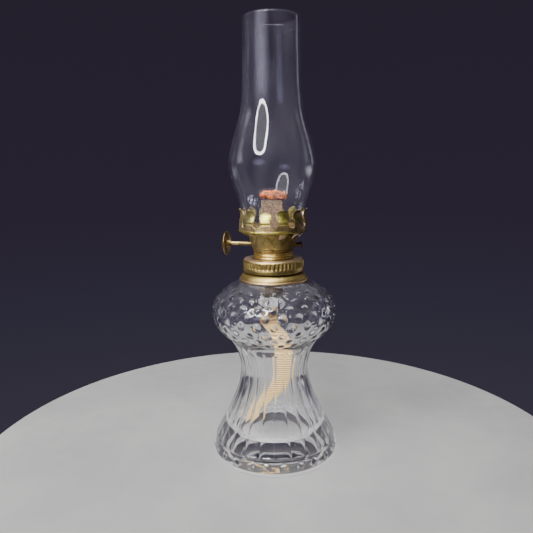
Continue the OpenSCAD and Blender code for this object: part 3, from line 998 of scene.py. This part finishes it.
def wick():
    """A flat ribbon, woven: raised weft ribs cross a few warp cords.

    It is straight where the tube can reach it. Below that it turns edge-on, swings left in the bulb and right
    in the stem, and its tail swings left in the foot.
    """
    levels = {}
    for v in frame["nodes"]["wick"].data.vertices:
        levels.setdefault(round(v.co.z, 5), []).append(v.co.dot(BURNER_X))
    zs = np.array(sorted(levels))
    middle = np.array([(min(levels[z]) + max(levels[z])) / 2 for z in zs])
    half_w = float(np.median([(max(levels[z]) - min(levels[z])) / 2 for z in zs])) - 0.12 * MM
    half_t = 0.86 * MM
    section = np.array([superellipse(a, half_w, half_t, 0.35, 0.5) for a in np.arange(64) / 64 * TURN])
    x, y = section[:, 0], section[:, 1]
    heights = np.linspace(wick_low.z + 0.1 * MM, wick_high.z, 560)
    free_z = tube_low.z - RAISE - 0.8 * MM
    skin = Skin()
    rings = []
    for z in heights:
        tail = smooth((wick_low.z + TAIL_LENGTH - z) / TAIL_LENGTH)
        in_bulb = smooth((free_z - z) / (9 * MM)) * smooth((z - BULB_Z) / (12 * MM))
        in_stem = smooth((STEM_Z[1] - z) / (10 * MM)) * smooth((z - STEM_Z[0]) / (12 * MM))
        bent = STEM_SWING * in_stem - BULB_SWING * in_bulb - TAIL_SWING * tail
        x0 = float(np.interp(z, zs, middle)) + bent
        turned = 1.25 * smooth((free_z - z) / (7 * MM)) * smooth((z - STEM_Z[1]) / (8 * MM))
        loose = smooth((free_z - z) / (14 * MM))
        sway = loose * 0.35 * MM * math.sin(z / (9 * MM))
        weft = math.sin(TURN * z / WEFT_PITCH)
        over = 0 if math.sin(TURN * z / (2.5 * MM)) > 0 else math.pi
        warp = np.sin(TURN * x / WARP_PITCH + over)
        rough = np.array([noise.noise(Vector((a * 900, b * 900, z * 900))) for a, b in section])
        h = (0.2 * weft + 0.06 * warp * abs(weft) + 0.07 * rough) * MM
        narrow = 1 - 0.05 * smooth((z - tube_low.z) / (4 * MM))
        narrow -= 0.1 * loose * math.sin(z / (8 * MM)) ** 2
        flat_x, flat_y = x * narrow + 0.3 * h * np.sign(x), y + h * np.sign(y)
        px = x0 + flat_x * math.cos(turned) - flat_y * math.sin(turned)
        py = sway + flat_x * math.sin(turned) + flat_y * math.cos(turned)
        p = np.outer(px, np.array(BURNER_X)) + np.outer(py, np.array(BURNER_Y))
        p[:, 2] = z + 0.25 * MM * loose * np.sin(x / (2.1 * MM)) + 0.48 * x * tail
        rings.append(skin.ring(p, h))
    # both ends close on a point; the crust hides the upper one
    low_end = skin.ring([np.mean(skin.points[0], axis=0)])
    high_end = skin.ring([np.mean(skin.points[len(heights) - 1], axis=0)])
    skin.strip([low_end, *rings, high_end])
    return skin.build("wick_woven", 60)


def crust():
    """Burnt cotton on the tube's rim: lumps run together, with a tag that hangs over on the right."""
    low, high = crust_low, crust_high
    middle = (low + high) / 2
    half_x = (high.x - low.x) / 2 / abs(BURNER_X.x) + 0.4 * MM
    tall = high.z - low.z
    skin = Skin()
    rings = []
    rows, columns = 120, 96
    for i in range(rows + 1):
        c = -math.cos(math.pi * i / rows)
        x = c * half_x
        end = max(1 - abs(c) ** 3.4, 0.0) ** 0.5
        lump = 0.84 + 0.10 * math.sin(x / (0.95 * MM) + 0.9) + 0.05 * math.sin(x / (0.41 * MM))
        size = lump * end
        ring, marks = [], []
        for j in range(columns):
            a = j / columns * TURN
            y, z = superellipse(a, 2.2 * MM * size, 0.5 * tall * size, 0.75, 0.75)
            p = Vector((x, y, z + 0.47 * tall))
            big = noise.fractal(p * 520 + Vector((3.1, 0, 0)), 0.9, 2.1, 3)
            grit = noise.fractal(p * 1900, 0.8, 2.2, 3)
            h = (0.62 * big + 0.52 * grit) * MM * min(1.0, 2.0 * end)
            p += Vector((0, math.cos(a), math.sin(a))) * h
            hangs = smooth((x - 5.7 * MM) / (0.3 * MM))
            p.z = max(p.z - 1.3 * MM * hangs * (0.5 - 0.5 * math.sin(a)), (0.02 - 1.5 * hangs) * MM)
            ring.append(p)
            marks.append(h)
        if end < 1e-3:
            ring, marks = ring[:1], marks[:1]
        foot = Vector((middle.x, middle.y, low.z))
        world = [foot + BURNER_X * q.x + BURNER_Y * q.y + Vector((0, 0, q.z)) for q in ring]
        rings.append(skin.ring([tuple(w) for w in world], marks))
    for a, b in zip(rings, rings[1:]):
        skin.join(b, a)
    return skin.build("burnt_crust", None)


# ---------- the lamp ----------

FONT_GLASS = glass("font_glass", (0.985, 0.99, 0.99), 1.5, 0.86, 0.02, 7, (0.0, 0.02))
CHIMNEY_GLASS = glass(
    "chimney_glass", (0.99, 0.995, 1.0), 1.47, 0.93, 0.015, 12, (0.001, 0.014),
    residue=((-9.0, -11.7, 123.6, 3.2, 1.0), (12.4, -12.0, 127.2, 3.4, 2.0)),
    smear=(-4.4, -12.2, 160.0),
)
# heights in mm, as materials read them
RING_Z, BOWL_Z, FLANGE_Z = ring_low.z * 1000, bowl_low.z * 1000, collar_low.z * 1000
GALLERY_Z = (gallery_high.z - GALLERY_HEIGHT) * 1000
KNOB_Z = knob_high.z * 1000
COLLAR_BRASS = aged_brass(
    "collar_brass", (0.56, 0.43, 0.15), (0.38, 0.26, 0.09), (0.62, 0.38, 0.22), 0.3, 0.35,
    FLANGE_Z - 1, FLANGE_Z + 9,
    zones=(("Z", FLANGE_Z + 1.5, FLANGE_Z + 0.7, (0.80, 0.50, 0.34), 0.7),),
)
BURNER_BRASS = aged_brass(
    "burner_brass", (0.66, 0.50, 0.17), (0.38, 0.25, 0.09), (0.64, 0.40, 0.22), 0.3, 0.15,
    RING_Z, RING_Z + 18, flecks=0.5,
)
# a darker copy of the burner's brass: painted shade in place of the bowl's dark reflections
BOWL_BRASS = aged_brass(
    "bowl_brass", (0.46, 0.35, 0.12), (0.24, 0.17, 0.06), (0.40, 0.27, 0.12), 0.42, 0.2,
    BOWL_Z, BOWL_Z + 9, dents=0.12, flecks=0.8, matte=0.06,
    zones=(
        # painted light on the left side, and painted shade on the right
        ("X", -1.0, -8.0, (0.74, 0.57, 0.25), 0.55),
        ("X", 1.0, 8.0, (0.15, 0.09, 0.025), 0.75),
    ),
)
GALLERY_BRASS = aged_brass(
    "gallery_brass", (0.60, 0.52, 0.16), (0.30, 0.22, 0.08), (0.54, 0.34, 0.21), 0.35, 0.3,
    GALLERY_Z - 3, GALLERY_Z + 9, dents=0.3, flecks=0.85, matte=0.03,
    zones=(
        ("Z", GALLERY_Z + 3.8, GALLERY_Z + 4.8, (0.68, 0.62, 0.11), 0.65),
        # painted light on the left side
        ("X", -3.0, -10.0, (0.88, 0.75, 0.36), 0.6),
        ("Z", GALLERY_Z + 4.4, GALLERY_Z + 3.4, (0.50, 0.33, 0.18), 0.65),
        ("Z", GALLERY_Z + 1.5, GALLERY_Z + 0.8, (0.60, 0.52, 0.09), 0.9),
        # painted shade at the petals' tops
        ("Z", GALLERY_Z + 8.2, GALLERY_Z + 10.4, (0.22, 0.16, 0.06), 0.75),
        # painted shade on the right side
        ("X", 6.0, 12.0, (0.07, 0.042, 0.015), 0.88),
    ),
)
WINDER_BRASS = aged_brass(
    "winder_brass", (0.50, 0.37, 0.14), (0.20, 0.13, 0.045), (0.60, 0.38, 0.24), 0.55, 0.25,
    knob_low.z * 1000 - 20, KNOB_Z,
    # painted shade on the right side, over the retainer
    zones=(("X", 7.0, 10.5, (0.10, 0.06, 0.025), 0.85),),
)
TUBE_BRASS = sooted_brass()
INNER_BRASS = dull_brass()

finished(glass_font(), "font", "font_glass", FONT_GLASS, "glass_font")
finished(chimney(), "chimney", "chimney_glass", CHIMNEY_GLASS, "chimney")
finished(collar(), "font", "collar_brass", COLLAR_BRASS, "collar")
finished(screw_ring(), "screw_ring", "burner_brass", BURNER_BRASS, "screw_ring")
finished(burner_neck(), "burner", "burner_brass", BURNER_BRASS, "burner_neck")
finished(burner_bowl(), "burner", "burner_brass", BOWL_BRASS, "burner_bowl")
finished(gallery(), "burner", "gallery_brass", GALLERY_BRASS, "gallery")
finished(winder_knob(), "winder", "winder_brass", WINDER_BRASS, "winder_knob")
finished(winder_shaft(), "winder", "winder_brass", WINDER_BRASS, "winder_shaft")
finished(wick(), "wick", "wick_cotton", cotton(), "wick")
finished(crust(), "wick", "burnt_wick", burnt_crust(), "charred_wick_end")

for node, look in (
    ("collar_cement", plaster()), ("base_plate", INNER_BRASS), ("air_plate", INNER_BRASS),
    ("vent_tube", INNER_BRASS), ("spur_housing", INNER_BRASS), ("left_spur_wheel", INNER_BRASS),
    ("right_spur_wheel", INNER_BRASS), ("wick_tube", TUBE_BRASS), ("shaft_retainer", WINDER_BRASS),
):
    for material_slot in frame["nodes"][node].material_slots:
        material_slot.material = look

# ---------- floor, light and camera ----------

FLOOR_R = 0.14


def floor():
    """A plain pale disc with a rounded edge. Its top is 0.02 mm under the lamp's foot."""
    edge = 4 * MM
    path = curve([
        [0.0, 0.0], [FLOOR_R - edge, 0.0], [FLOOR_R - 0.3 * edge, -0.3 * edge], [FLOOR_R, -edge],
        [FLOOR_R, -4 * edge], [0.0, -4 * edge],
    ], 6)[::-1]
    disc = lathe("floor_disc", path, 160, sharp=30)
    disc.data.materials.append(floor_look())
    disc.location.z = cad_low.z - 0.02 * MM


def shaded(data, dim_at, full_at, least, most):
    """Makes a lamp's strength go from least to most, from dim_at to full_at.

    Both are distances from its middle, and 0.5 is its edge.
    """
    data.use_nodes = True
    k = Nodes(data.node_tree)
    emission = next(n for n in k.tree.nodes if n.type == "EMISSION")
    off = k.distance(k.add("ShaderNodeNewGeometry").outputs["Parametric"], (0.5, 0.5, 0))
    k.put(emission.inputs["Strength"], k.range(off, dim_at, full_at, least, most))


def lamp(name, azimuth, elevation, distance, size, power, colour,
         shape="DISK", size_y=None, shade=None):
    """A soft area lamp that looks at the burner, azimuth degrees to the right of the camera."""
    data = bpy.data.lights.new(name, "AREA")
    data.shape, data.size, data.energy, data.color = shape, size, power, colour
    if size_y:
        data.size_y = size_y
    a, e = math.radians(azimuth), math.radians(elevation)
    lit = bpy.data.objects.new(name, data)
    aim = Vector((0, 0, 0.1))
    away = Vector((math.sin(a) * math.cos(e), -math.cos(a) * math.cos(e), math.sin(e)))
    lit.location = aim + away * distance
    lit.rotation_mode = "QUATERNION"
    lit.rotation_quaternion = away.to_track_quat("Z", "Y")
    bpy.context.scene.collection.objects.link(lit)
    if shade:
        shaded(data, *shade)


def backdrop():
    """A dark grey-violet room, lighter overhead and a little lighter below."""
    world = bpy.data.worlds.new("room")
    bpy.context.scene.world = world
    world.use_nodes = True
    k = Nodes(world.node_tree)
    split = k.add("ShaderNodeSeparateXYZ")
    k.put(split.inputs[0], k.add("ShaderNodeTexCoord").outputs["Generated"])
    ramp = k.add("ShaderNodeValToRGB")
    k.put(ramp.inputs["Fac"], k.maths("MULTIPLY", k.maths("ADD", split.outputs["Z"], 1.0), 0.5))
    stops = [(0.0, (0.07, 0.065, 0.08)), (0.40, (0.030, 0.026, 0.045)), (0.47, (0.027, 0.020, 0.036)),
             (0.64, (0.025, 0.0185, 0.033)), (0.74, (0.10, 0.09, 0.09)), (1.0, (0.14, 0.13, 0.13))]
    while len(ramp.color_ramp.elements) < len(stops):
        ramp.color_ramp.elements.new(0.5)
    for element, (at, colour) in zip(ramp.color_ramp.elements, stops):
        element.position, element.color = at, (*colour, 1)
    k.put(k.tree.nodes["Background"].inputs["Color"], ramp.outputs["Color"])


def camera():
    """The view from in front of the lamp and a little above its burner, looking down."""
    data = bpy.data.cameras.new("camera")
    data.sensor_width = 36
    data.lens = 36.8
    data.clip_start = 0.01
    view = bpy.data.objects.new("camera", data)
    bpy.context.scene.collection.objects.link(view)
    bpy.context.scene.camera = view
    height, away = 0.1354, 0.2557
    yaw, pitch, roll = math.radians(0.74), math.radians(9.79), math.radians(-0.73)
    view.location = (0, -away, height)
    tilt = Matrix.Rotation(math.pi / 2 - pitch, 4, "X") @ Matrix.Rotation(roll, 4, "Z")
    view.rotation_euler = (Matrix.Rotation(yaw, 4, "Z") @ tilt).to_euler()


floor()
backdrop()
RING = (0.39, 0.43, 0.03, 2.4)      # dim inside a bright rim
SOFT = (0.5, 0.05, 0.0, 2.5)        # fades to nothing at its edge
lamp("ring_key", -37, 41, 0.95, 0.61, 30, (0.98, 0.985, 1.0), shade=RING)
lamp("top_fill", -25, 82, 0.9, 0.55, 6, (0.97, 0.97, 1.0))
lamp("right_edge", 128, 16, 1.1, 0.06, 0.16, (0.80, 0.80, 1.0), "RECTANGLE", 0.6)
lamp("left_glow", -36, 8, 1.0, 0.8, 0.7, (0.66, 0.64, 1.0), "RECTANGLE", 0.45, SOFT)
lamp("right_side", 112, -6, 0.9, 0.7, 0.55, (0.92, 0.93, 1.0), "RECTANGLE", 0.3, SOFT)
lamp("left_side", -120, -6, 0.9, 0.5, 0.12, (0.92, 0.93, 1.0), "RECTANGLE", 0.3, SOFT)
camera()
